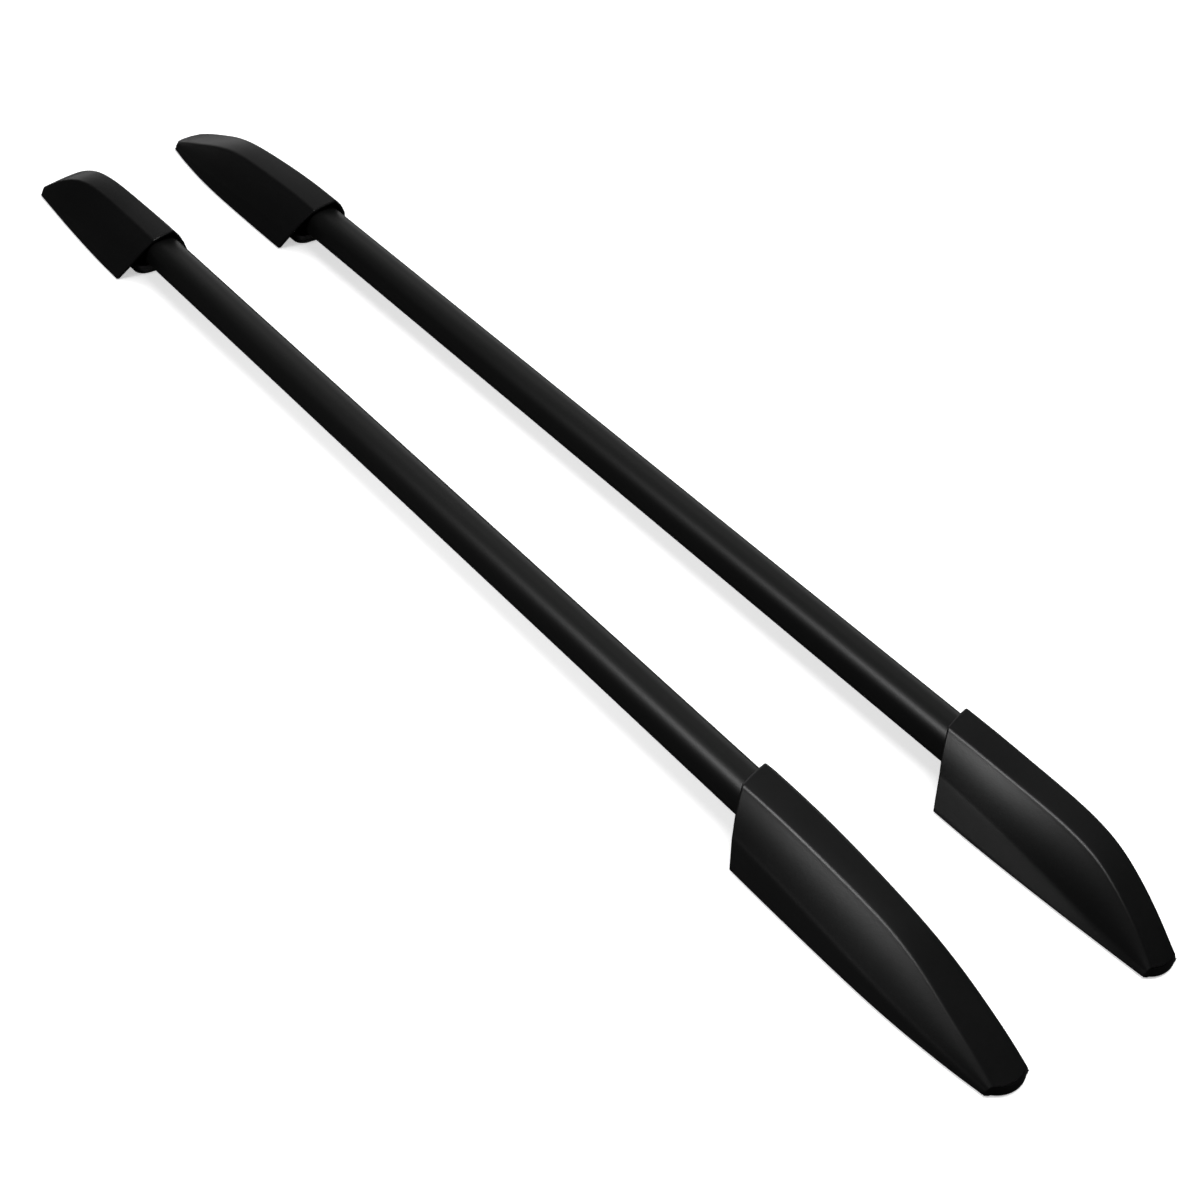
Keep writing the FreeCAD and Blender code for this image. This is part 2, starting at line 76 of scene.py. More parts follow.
class Sock:
    """A shader socket that can be used in Python expressions."""

    def __init__(self, sheet: "NodeSheet", socket: bpy.types.NodeSocket | None) -> None:
        """Keeps the socket and the tree that it belongs to."""
        self.sheet = sheet
        self.socket = socket

    def _math(self, operation: str, first: Any, second: Any) -> "Sock":
        """Adds one Math node.

        Args:
            operation: the Math node's operation.
            first: a socket or a number.
            second: a socket or a number.

        Returns:
            The node's result.
        """
        return self.sheet.add("ShaderNodeMath", {"operation": operation}, {0: first, 1: second})

    def __add__(self, other: Any) -> "Sock":
        """Adds a socket or a number."""
        return self._math("ADD", self, other)

    __radd__ = __add__

    def __mul__(self, other: Any) -> "Sock":
        """Multiplies by a socket or a number."""
        return self._math("MULTIPLY", self, other)

    __rmul__ = __mul__

    def __sub__(self, other: Any) -> "Sock":
        """Takes a socket or a number away."""
        return self._math("SUBTRACT", self, other)

    def __rsub__(self, other: Any) -> "Sock":
        """Takes this socket away from a number."""
        return self._math("SUBTRACT", other, self)


@dataclass(frozen=True)
class Octaves:
    """Finer noise laid over a coarse one: how many times it is halved, and how strong it stays."""

    count: float
    strength: float


class NodeSheet:
    """One node tree and the single method that adds nodes to it."""

    def __init__(self, tree: bpy.types.NodeTree) -> None:
        """Keeps the tree and empties it."""
        self.tree = tree
        tree.nodes.clear()

    def add(self, kind: str, settings: dict[str, Any], inputs: dict[Any, Any], output: Any = 0) -> Sock:
        """Adds a node, sets it up and links it.

        Args:
            kind: the node's type name.
            settings: the node's own properties, set before its sockets.
            inputs: a value or a Sock for each input, by name or number.
            output: the output to return, by name or number.

        Returns:
            The chosen output.
        """
        node = self.tree.nodes.new(kind)
        for name, value in settings.items():
            if name == "stops":
                self._set_stops(node, value)
            else:
                setattr(node, name, value)
        for key, value in inputs.items():
            if isinstance(value, Sock):
                self.tree.links.new(value.socket, node.inputs[key])
            else:
                node.inputs[key].default_value = value
        return Sock(self, node.outputs[output]) if len(node.outputs) else Sock(self, None)

    @staticmethod
    def _set_stops(node: bpy.types.Node, stops: Sequence[tuple[float, float]]) -> None:
        """Sets a ramp's stops as grey levels.

        Args:
            node: a Color Ramp node.
            stops: positions and grey levels, in order.
        """
        ramp = node.color_ramp
        while len(ramp.elements) < len(stops):
            ramp.elements.new(1.0)
        for element, (position, level) in zip(ramp.elements, stops):
            element.position = position
            element.color = (level, level, level, 1.0)

    def noise(self, coordinates: Sock, scale: float, octaves: Octaves) -> Sock:
        """Adds a noise pattern.

        Args:
            coordinates: where the pattern is read.
            scale: waves per metre.
            octaves: the finer noise over it.

        Returns:
            The noise as a value about 0.5.
        """
        return self.add("ShaderNodeTexNoise", {"noise_dimensions": "3D"}, {
            "Vector": coordinates, "Scale": scale, "Detail": octaves.count, "Roughness": octaves.strength,
        }, "Fac")

    def object_coordinates(self, stretch: tuple[float, float, float] = (1.0, 1.0, 1.0)) -> Sock:
        """Gives Object coordinates, scaled along each axis.

        Args:
            stretch: the factor along X, Y and Z.

        Returns:
            The scaled coordinates.
        """
        plain = self.add("ShaderNodeTexCoord", {}, {}, "Object")
        return self.add("ShaderNodeMapping", {}, {"Vector": plain, "Scale": stretch})


# Finishes

CLOUD_OCTAVES = Octaves(4.0, 0.6)
GRAIN_OCTAVES = Octaves(2.0, 0.55)
SPECKLE_OCTAVES = Octaves(3.0, 0.6)
SCUFF_OCTAVES = Octaves(5.0, 0.7)


@dataclass(frozen=True)
class Finish:
    """A surface finish with its grain, clouding and wear.

    The grain is a fine bump, the clouding a slow change of tone and gloss, and the scuffs are faint marks
    that run along the rail. A coarser speckle joins in the tone and the bump. tone_shares are those of
    clouding and speckle, and gloss_shares those of clouding and grain.
    """

    name: str
    dark: tuple[float, float, float]
    light: tuple[float, float, float]
    gloss: tuple[float, float]
    metallic: float
    specular: float
    grain_scale: float
    grain_height: float
    cloud_scale: float
    stretch: tuple[float, float, float] = (1.0, 1.0, 1.0)
    scuff: float = 0.0
    speckle_scale_share: float = 0.31
    speckle_height_share: float = 0.5
    tone_shares: tuple[float, float] = (0.7, 0.3)
    gloss_shares: tuple[float, float] = (0.6, 0.4)
    scuff_stretch: tuple[float, float, float] = (9.0, 60.0, 60.0)
    scuff_scale: float = 3.0
    scuff_stops: tuple[tuple[float, float], ...] = ((0.62, 0.0), (0.72, 1.0))

    def material(self) -> bpy.types.Material:
        """Builds the finish as a node material.

        Returns:
            The material, made once for each name.
        """
        made = bpy.data.materials.get(self.name)
        if made is not None:
            return made
        made = bpy.data.materials.new(self.name)
        made.use_nodes = True
        sheet = NodeSheet(made.node_tree)
        place = sheet.object_coordinates(self.stretch)
        cloud = sheet.noise(place, self.cloud_scale, CLOUD_OCTAVES)
        grain = sheet.noise(place, self.grain_scale, GRAIN_OCTAVES)
        speckle = sheet.noise(place, self.grain_scale * self.speckle_scale_share, SPECKLE_OCTAVES)
        of_cloud, of_speckle = self.tone_shares
        tone = sheet.add("ShaderNodeMath", {"operation": "ADD", "use_clamp": True},
                         {0: cloud * of_cloud, 1: speckle * of_speckle})
        colour = sheet.add("ShaderNodeMix", {"data_type": "RGBA"},
                           {"Factor": tone, "A": (*self.dark, 1.0), "B": (*self.light, 1.0)}, "Result")
        low, high = self.gloss
        of_cloud, of_grain = self.gloss_shares
        rough = low + (high - low) * (cloud * of_cloud + grain * of_grain)
        if self.scuff:
            marks = sheet.noise(sheet.object_coordinates(self.scuff_stretch), self.scuff_scale, SCUFF_OCTAVES)
            band = sheet.add("ShaderNodeValToRGB", {"stops": self.scuff_stops}, {"Fac": marks})
            rough = rough + band * self.scuff
        height = grain + speckle * self.speckle_height_share
        bump = sheet.add("ShaderNodeBump", {},
                         {"Strength": 1.0, "Distance": self.grain_height, "Height": height})
        shader = sheet.add("ShaderNodeBsdfPrincipled", {}, {
            "Base Color": colour, "Roughness": rough, "Metallic": self.metallic, "Normal": bump,
            "Specular IOR Level": self.specular,
        })
        sheet.add("ShaderNodeOutputMaterial", {}, {"Surface": shader})
        return made


COVER_PLASTIC = Finish(
    name="cover_plastic_satin", dark=(0.0019, 0.0019, 0.0020), light=(0.0044, 0.0044, 0.0045),
    gloss=(0.31, 0.41), metallic=0.0, specular=0.42, grain_scale=1400.0, grain_height=0.00005,
    cloud_scale=14.0, scuff=0.05)
TUBE_COAT = Finish(
    name="tube_coat_satin", dark=(0.0019, 0.0020, 0.0019), light=(0.0044, 0.0045, 0.0044), gloss=(0.38, 0.48),
    metallic=0.0, specular=0.45, grain_scale=900.0, grain_height=0.00003, cloud_scale=10.0,
    stretch=(0.25, 1.0, 1.0), scuff=0.04)
FOOT_CASTING = Finish(
    name="foot_casting", dark=(0.42, 0.42, 0.43), light=(0.58, 0.58, 0.59), gloss=(0.42, 0.62), metallic=0.35,
    specular=0.5, grain_scale=700.0, grain_height=0.00012, cloud_scale=40.0, scuff=0.08)
GASKET_RUBBER = Finish(
    name="gasket_rubber", dark=(0.012, 0.012, 0.012), light=(0.028, 0.028, 0.028), gloss=(0.70, 0.88),
    metallic=0.0, specular=0.3, grain_scale=1100.0, grain_height=0.00008, cloud_scale=60.0)
SCREW_ZINC = Finish(
    name="screw_zinc", dark=(0.36, 0.36, 0.38), light=(0.56, 0.56, 0.58), gloss=(0.26, 0.42), metallic=1.0,
    specular=0.5, grain_scale=1500.0, grain_height=0.00002, cloud_scale=120.0)


# Meshes


def new_object(name: str, mesh: bpy.types.Mesh) -> bpy.types.Object:
    """Links a mesh to the scene as an object at the origin.

    Args:
        name: the piece's name.
        mesh: its mesh, with its place in its vertices.

    Returns:
        The new object.
    """
    made = bpy.data.objects.new(name, mesh)
    bpy.context.scene.collection.objects.link(made)
    return made


def plain_mesh(name: str, shape: bmesh.types.BMesh) -> bpy.types.Mesh:
    """Writes an edited mesh out and frees it.

    Args:
        name: the new mesh's name.
        shape: the edited mesh.

    Returns:
        The plain mesh.
    """
    data = bpy.data.meshes.new(name)
    shape.to_mesh(data)
    shape.free()
    return data


def baked(piece: bpy.types.Object) -> None:
    """Turns a piece's modifiers into plain mesh.

    Args:
        piece: the object, whose modifiers are removed.
    """
    evaluated = piece.evaluated_get(bpy.context.evaluated_depsgraph_get())
    result = bpy.data.meshes.new_from_object(evaluated)
    result.name = piece.name
    old = piece.data
    piece.modifiers.clear()
    piece.data = result
    bpy.data.meshes.remove(old)


def node_tree(name: str, kinds: dict[str, str],
              draw: Callable[[NodeSheet, Callable[[str], Sock]], Sock]) -> bpy.types.NodeTree:
    """Makes a geometry node tree with named inputs, which ends in real mesh and one material.

    Args:
        name: the tree's name.
        kinds: the socket type of each named input.
        draw: draws the tree's geometry from its inputs.

    Returns:
        The tree, made once for each name.
    """
    made = bpy.data.node_groups.get(name)
    if made is not None:
        return made
    made = bpy.data.node_groups.new(name, "GeometryNodeTree")
    for label, kind in kinds.items():
        made.interface.new_socket(label, in_out="INPUT", socket_type=kind)
    made.interface.new_socket("Geometry", in_out="OUTPUT", socket_type="NodeSocketGeometry")
    sheet = NodeSheet(made)

    def given(label: str) -> Sock:
        """Gives one of the tree's named inputs."""
        return sheet.add("NodeGroupInput", {}, {}, label)

    real = sheet.add("GeometryNodeRealizeInstances", {}, {"Geometry": draw(sheet, given)})
    dressed = sheet.add("GeometryNodeSetMaterial", {},
                        {"Geometry": real, "Material": given("Finish Material")})
    sheet.add("NodeGroupOutput", {}, {"Geometry": dressed})
    return made


def fill_inputs(modifier: bpy.types.Modifier, values: dict[str, Any]) -> None:
    """Sets a node modifier's named inputs.

    Args:
        modifier: the modifier, with its tree.
        values: a value for each named input.
    """
    for item in modifier.node_group.interface.items_tree:
        if item.in_out == "INPUT":
            modifier[item.identifier] = values[item.name]


def dress(piece: bpy.types.Object, finish: Finish) -> None:
    """Gives a piece one finish on all its faces."""
    piece.data.materials.clear()
    piece.data.materials.append(finish.material())


def seat(piece: bpy.types.Object, node: str) -> None:
    """Fixes a piece to the frame in place of a node.

    Args:
        piece: the new piece.
        node: the node that it stands for.
    """
    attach(piece, BODY)
    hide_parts(node)
    LOG.info("%s: %d faces", piece.name, len(piece.data.polygons))


class Spline:
    """A natural cubic through a few stations."""

    def __init__(self, places: Sequence[float], values: Sequence[float]) -> None:
        """Solves for the second derivatives at the stations.

        Args:
            places: the stations, in rising order.
            values: the value at each.
        """
        self.places = list(places)
        self.values = list(values)
        count = len(places)
        upper = [0.0] * count
        right = [0.0] * count
        for i in range(1, count - 1):
            before = places[i] - places[i - 1]
            after = places[i + 1] - places[i]
            slope = (values[i + 1] - values[i]) / after - (values[i] - values[i - 1]) / before
            pivot = 2 * (before + after) - before * upper[i - 1]
            upper[i] = after / pivot
            right[i] = (6 * slope - before * right[i - 1]) / pivot
        self.bends = [0.0] * count
        for i in range(count - 2, 0, -1):
            self.bends[i] = right[i] - upper[i] * self.bends[i + 1]

    def __call__(self, at: float) -> float:
        """Gives the value at a place between the first and last stations."""
        i = 0
        while i < len(self.places) - 2 and at > self.places[i + 1]:
            i += 1
        span = self.places[i + 1] - self.places[i]
        a = (self.places[i + 1] - at) / span
        b = 1 - a
        cubic = ((a ** 3 - a) * self.bends[i] + (b ** 3 - b) * self.bends[i + 1]) * span ** 2 / 6
        return a * self.values[i] + b * self.values[i + 1] + cubic


def smoothed(values: Sequence[float]) -> list[float]:
    """Adds a value halfway between each two, on a cubic through its neighbours.

    The first and last of these values lie on parabolas through the three stations at that end.

    Args:
        values: the values at the stations.

    Returns:
        The values with those halfway between them.
    """
    halfway = [(3 * values[0] + 6 * values[1] - values[2]) / 8]
    for before, left, right, after in zip(values, values[1:], values[2:], values[3:]):
        halfway.append((9 * (left + right) - before - after) / 16)
    halfway.append((3 * values[-1] + 6 * values[-2] - values[-3]) / 8)
    filled = [values[0]]
    for middle, value in zip(halfway, values[1:]):
        filled += [middle, value]
    return filled


@dataclass(frozen=True)
class Station:
    """One cross-section of a cover, in millimetres from its upper mouth edge and the tube's axis."""

    place: float
    base: float
    ledge: float
    ledge_height: float
    inner_ledge: float
    top: float
    height: float
    sweep: float


# Each row: place, base, ledge, ledge height, inner ledge, top, height, sweep
FRONT_STATIONS = (
    Station(0.0, 41.5, 31.0, 21.0, 34.0, 15.5, 57.2, 4.5),
    Station(95.0, 42.5, 33.0, 19.0, 27.0, 14.5, 55.8, 4.5),
    Station(195.0, 39.5, 33.0, 13.0, 14.0, 13.5, 48.0, 6.5),
    Station(262.0, 31.5, 27.5, 8.0, 8.0, 15.5, 29.5, 10.0),
    Station(322.0, 19.0, 18.0, 3.5, 3.5, 16.0, 7.5, 14.5),
)
REAR_STATIONS = (
    Station(0.0, 43.0, 29.0, 21.0, 34.0, 14.0, 57.2, 4.5),
    Station(80.0, 43.0, 30.5, 19.0, 27.0, 13.5, 57.0, 4.5),
    Station(155.0, 37.5, 29.0, 13.0, 14.0, 13.0, 56.0, 7.0),
    Station(205.0, 29.0, 24.5, 8.0, 8.0, 12.5, 44.0, 12.5),
    Station(263.0, 15.5, 14.5, 3.5, 3.5, 12.0, 8.0, 22.0),
)
STATIONS = {End.FRONT: FRONT_STATIONS, End.REAR: REAR_STATIONS}
TIP_SAG = {End.FRONT: 9.0, End.REAR: 6.0}


@dataclass
class EndCover:
    """A moulded cover: a thin shell with a crowned top, rounded creases and a ledge that fades away.

    The mouth and the axis are in metres, and all other lengths in millimetres.
    """

    node: str
    stations: Sequence[Station]
    tip_sag: float
    direction: int
    mouth: float
    axis: float
    lift: float = 1.0
    wall: float = 2.5
    tip_wall_share: float = 0.3
    rake: float = 36.0
    rake_reach: float = 150.0
    crown: float = 1.0
    crease_drop: float = 0.125
    crease_inset: float = 0.74
    bulge: float = 0.9
    crease_round: float = 2.0
    ledge_round: float = 2.2
    foot_round: float = 1.2
    round_share: float = 0.45
    ledge_rise: float = 0.6
    fade_power: float = 1.5
    tip_reach: float = 46.0
    tip_lift: float = 1.6
    tip_lift_length: float = 9.0
    nose_round: float = 2.4
    nose_steps: int = 7
    rim_round: float = 0.4
    rim_angle_deg: float = 50.0
    rim_segments: int = 2
    rim_profile: float = 0.5
    weld: float = 0.01
    rows: int = 150
    foot_points: int = 4
    skirt_points: int = 7
    ledge_points: int = 5
    flank_points: int = 18
    crease_points: int = 9
    crown_points: int = 15
    splines: dict[str, Spline] = field(default_factory=dict)

    def __post_init__(self) -> None:
        """Makes a spline for each size of the cross-section."""
        places = smoothed([station.place for station in self.stations])
        for name in ("base", "ledge", "ledge_height", "inner_ledge", "top", "height", "sweep"):
            sizes = smoothed([getattr(station, name) for station in self.stations])
            self.splines[name] = Spline(places, sizes)

    @property
    def length(self) -> float:
        """The cover's length from its upper mouth edge to its tip."""
        return self.stations[-1].place

    def corner(self, before: Vector, at: Vector, after: Vector, reach: float, steps: int) -> list[Vector]:
        """Rounds a corner of the section.

        Args:
            before: the outline's point ahead of the corner.
            at: the corner.
            after: the outline's point behind it.
            reach: how far the round runs along each side.
            steps: how many points it has.

        Returns:
            Points on a curve from one side to the other.
        """
        first = min(reach, (before - at).length * self.round_share)
        second = min(reach, (after - at).length * self.round_share)
        start = at + (before - at).normalized() * first
        finish = at + (after - at).normalized() * second
        points = []
        for step in range(steps):
            t = step / (steps - 1)
            points.append(start * (1 - t) ** 2 + at * 2 * t * (1 - t) + finish * t ** 2)
        return points

    def side(self, size: dict[str, float], low: float, sign: int) -> list[Vector]:
        """Gives the corners of one side of the section.

        The outer side's crease is lower and further in, and the inner side's ledge has a height of its own.

        Args:
            size: the section's sizes.
            low: the height of the skirt's foot.
            sign: 1 for the side at positive distances across, -1 for the other.

        Returns:
            The skirt's foot, the ledge and the crease.
        """
        top, height, ledge_height = size["top"], size["height"], size["ledge_height"]
        if sign == self.direction:
            ledge_height = size["inner_ledge"]
        else:
            drop = height * self.crease_drop
            top -= drop * self.crease_inset
            height -= drop
        ledge_height = max(ledge_height, low + self.ledge_rise)
        corners = ((size["base"], low), (size["ledge"], ledge_height), (top, height))
        return [Vector((sign * across, up)) for across, up in corners]

    def section(self, place: float) -> list[Vector]:
        """Draws the whole section from foot to foot, with rounded corners.

        Args:
            place: the distance along the cover.

        Returns:
            Points of (across, up) about the section's middle, the same number at every place.
        """
        size = {name: spline(place) for name, spline in self.splines.items()}
        ramp = max(0.0, (place - self.length + self.tip_lift_length) / self.tip_lift_length)
        low = self.lift + (self.tip_lift - self.lift) * ramp
        swell = self.bulge * min(1.0, size["height"] / self.stations[0].height)
        right = self.side(size, low, 1)
        left = self.side(size, low, -1)
        crest = (right[-1] + left[-1]) / 2 + Vector((0.0, self.crown))
        halves = []
        for sign, (foot, ledge, crease) in ((1, right), (-1, left)):
            inside = foot - Vector((sign * self.wall, 0.0))
            lower = self.corner(inside, foot, ledge, self.foot_round, self.foot_points)[1:]
            middle = self.corner(foot, ledge, crease, self.ledge_round, self.ledge_points)
            upper = self.corner(ledge, crease, crest, self.crease_round, self.crease_points)
            skirt = self.between(lower[-1], middle[0], self.skirt_points, 0.0)
            flank = self.between(middle[-1], upper[0], self.flank_points, sign * swell)
            halves.append(lower + skirt + middle + flank + upper)
        crown = self.between(halves[0][-1], halves[1][-1], self.crown_points, self.crown / 2)
        return halves[0] + crown + halves[1][::-1]

    @staticmethod
    def between(start: Vector, finish: Vector, steps: int, bulge: float) -> list[Vector]:
        """Fills in points between two others, on a line that may swell outwards.

        Args:
            start: the first point, left out.
            finish: the last point, left out.
            steps: how many points to add.
            bulge: how far the middle swells.

        Returns:
            The points.
        """
        run = finish - start
        out = Vector((run.y, -run.x)).normalized()
        points = []
        for step in range(1, steps + 1):
            t = step / (steps + 1)
            points.append(start + run * t + out * bulge * math.sin(math.pi * t))
        return points

    def place_of(self, along: float, across: float, up: float) -> float:
        """Shears a row of the mesh so that it follows the raked mouth and the round tip.

        Args:
            along: the row's place on the middle of the top.
            across: the point's distance from the cover's middle, as a share of the base.
            up: the point's height.

        Returns:
            The point's own place along the cover.
        """
        top = self.stations[0].height + 2 * self.crown
        near = max(0.0, 1 - along / self.rake_reach) ** self.fade_power
        lean = self.rake * max(0.0, 1 - up / top) * near
        close = max(0.0, 1 - (self.length - along) / self.tip_reach)
        base = self.stations[-1].base
        radius = (base ** 2 + self.tip_sag ** 2) / (2 * self.tip_sag)
        sag = radius - math.sqrt(radius ** 2 - min(base, abs(across) * base) ** 2)
        return along + lean - sag * close ** self.fade_power

    def ring(self, along: float) -> list[Vector]:
        """Makes one row of the mesh, from foot to foot over the top.

        Args:
            along: the row's place on the middle of the top.

        Returns:
            Points in the cover's own frame, in millimetres.
        """
        base = self.splines["base"](along)
        row = []
        for index, point in enumerate(self.section(along)):
            place = self.place_of(along, point.x / base, point.y)
            exact = self.section(min(max(place, 0.0), self.length))[index]
            sweep = self.splines["sweep"](place) * self.direction
            row.append(Vector((place, exact.x - sweep, exact.y)))
        return row

    def nose(self, row: Sequence[Vector]) -> list[list[Vector]]:
        """Bends the tip's last row down into a rounded front lip.

        Args:
            row: the last row of the cover.

        Returns:
            The rows from the round edge down to the height of the skirt's foot.
        """
        foot = row[0].z
        rows = []
        for step in range(self.nose_steps + 1):
            angle = math.pi / 2 * step / self.nose_steps
            back = self.nose_round * (1 - math.sin(angle))
            rows.append([Vector((point.x - back, point.y, foot + (point.z - foot) * math.cos(angle)))
                         for point in row])
        return rows

    def build(self) -> bpy.types.Object:
        """Builds the shell.

        Returns:
            The cover, at its place on the rail.
        """
        piece = new_object(f"{self.node}_shell", self.surface())
        self.thicken(piece)
        self.round_rims(piece)
        dress(piece, COVER_PLASTIC)
        seat(piece, self.node)
        return piece

    def surface(self) -> bpy.types.Mesh:
        """Makes the cover's outer surface, which has no thickness yet.

        Returns:
            The smooth mesh, with its faces outwards.
        """
        places = [self.length * (row / self.rows) for row in range(self.rows + 1)]
        rows = [self.ring(place) for place in places]
        rows = rows[:-1] + self.nose(rows[-1])
        mesh = bmesh.new()
        grid = [[mesh.verts.new(self.to_rail(point)) for point in row] for row in rows]
        for first, second in zip(grid, grid[1:]):
            for a, b, c, d in zip(first, first[1:], second[1:], second):
                mesh.faces.new((a, b, c, d))
        bmesh.ops.remove_doubles(mesh, verts=mesh.verts, dist=self.weld * MM)
        bmesh.ops.recalc_face_normals(mesh, faces=mesh.faces)
        self.face_outwards(mesh)
        for face in mesh.faces:
            face.smooth = True
        return plain_mesh(f"{self.node}_shell", mesh)

    def thicken(self, piece: bpy.types.Object) -> None:
        """Gives the surface a wall on its inside, which gets thinner towards the tip.

        Args:
            piece: the surface, which becomes a shell.
        """
        thick = piece.vertex_groups.new(name="thick")
        for vertex in piece.data.vertices:
            left = self.length - abs(vertex.co.x - self.mouth) / MM
            thick.add([vertex.index], min(1.0, max(0.0, left / self.tip_reach)), "REPLACE")
        wall = piece.modifiers.new("wall", "SOLIDIFY")
        wall.thickness = self.wall * MM
        wall.offset = -1.0
        wall.vertex_group = thick.name
        wall.thickness_vertex_group = self.tip_wall_share
        baked(piece)

    def round_rims(self, piece: bpy.types.Object) -> None:
        """Rounds the shell's rims, apart from the thin ones close to the tip, and clears flat faces.

        Args:
            piece: the shell.
        """
        mesh = bmesh.new()
        mesh.from_mesh(piece.data)
        tip = self.mouth + self.direction * self.length * MM
        sharp = [edge for edge in mesh.edges
                 if edge.is_manifold and edge.calc_face_angle() > math.radians(self.rim_angle_deg)]
        thick = [edge for edge in sharp
                 if all(abs(vertex.co.x - tip) > self.tip_reach * MM for vertex in edge.verts)]
        for edge in sharp:
            edge.smooth = False
        for edge in thick:
            edge.smooth = True
        bmesh.ops.bevel(mesh, geom=thick, offset=self.rim_round * MM, segments=self.rim_segments,
                        profile=self.rim_profile, affect="EDGES", clamp_overlap=True)
        bmesh.ops.dissolve_degenerate(mesh, dist=self.weld * MM, edges=mesh.edges)
        mesh.to_mesh(piece.data)
        mesh.free()

    @staticmethod
    def face_outwards(mesh: bmesh.types.BMesh) -> None:
        """Turns the faces round if those on top look down."""
        highest = max(mesh.faces, key=lambda face: face.calc_center_median().z)
        if highest.normal.z < 0:
            bmesh.ops.reverse_faces(mesh, faces=mesh.faces)

    def to_rail(self, point: Vector) -> Vector:
        """Moves a point from the cover's own frame to the rail's, in metres."""
        return Vector((self.mouth + self.direction * point.x * MM,
                       self.axis + self.direction * point.y * MM,
                       point.z * MM))


@dataclass
class OvalTube:
    """The coated tube: a node tree sweeps a thin strip, as long as the tube, round an oval."""

    node: str
    corner: float = 15.0 * MM
    wall: float = 2.0 * MM
    steps: int = 14

    def build(self) -> bpy.types.Object:
        """Builds the tube between the ends of its node.

        Returns:
            The tube.
        """
        low, high = (Vector(corner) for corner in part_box(self.node))
        piece = new_object(f"{self.node}_sweep", bpy.data.meshes.new(f"{self.node}_sweep"))
        sweep = piece.modifiers.new("sweep", "NODES")
        sweep.node_group = self.sweep_tree()
        fill_inputs(sweep, {
            "Length": high.x - low.x, "Width": high.y - low.y, "Height": high.z - low.z,
            "Corner": self.corner, "Wall": self.wall, "Middle": tuple((low + high) / 2),
            "Steps": self.steps, "Finish Material": TUBE_COAT.material(),
        })
        baked(piece)
        for face in piece.data.polygons:
            face.use_smooth = True
        for edge in piece.data.edges:
            start, finish = (piece.data.vertices[index].co.x for index in edge.vertices)
            edge.use_edge_sharp = abs(start - finish) < self.wall
        seat(piece, self.node)
        return piece

    @staticmethod
    def sweep_tree() -> bpy.types.NodeTree:
        """Makes the tree that sweeps the strip and lays the tube along X.

        Returns:
            The node tree, made once.
        """
        kinds = {"Length": "NodeSocketFloat", "Width": "NodeSocketFloat", "Height": "NodeSocketFloat",
                 "Corner": "NodeSocketFloat", "Wall": "NodeSocketFloat", "Middle": "NodeSocketVector",
                 "Steps": "NodeSocketInt", "Finish Material": "NodeSocketMaterial"}

        def draw(sheet: NodeSheet, given: Callable[[str], Sock]) -> Sock:
            """Draws the oval in the middle of the wall, and the strip that goes round it."""
            oval = sheet.add("GeometryNodeCurvePrimitiveQuadrilateral", {}, {
                "Width": given("Height") - given("Wall"), "Height": given("Width") - given("Wall"),
            })
            oval = sheet.add("GeometryNodeFilletCurve", {"mode": "POLY"}, {
                "Curve": oval, "Radius": given("Corner") - given("Wall") * 0.5, "Count": given("Steps"),
            })
            strip = sheet.add("GeometryNodeCurvePrimitiveQuadrilateral", {},
                              {"Width": given("Wall"), "Height": given("Length")})
            upright = sheet.add("GeometryNodeCurveToMesh", {}, {"Curve": oval, "Profile Curve": strip})
            return sheet.add("GeometryNodeTransform", {}, {
                "Geometry": upright, "Translation": given("Middle"), "Rotation": (0.0, math.pi / 2, 0.0),
            })

        return node_tree("oval_tube_sweep", kinds, draw)


@dataclass(frozen=True)
class ScrewSize:
    """The sizes of a pan-head screw, in metres."""

    head_radius: float
    head_height: float
    shank_radius: float


TUBE_SCREW = ScrewSize(head_radius=4.5 * MM, head_height=2.4 * MM, shank_radius=2.5 * MM)
COVER_SCREW = ScrewSize(head_radius=4.0 * MM, head_height=2.4 * MM, shank_radius=2.0 * MM)


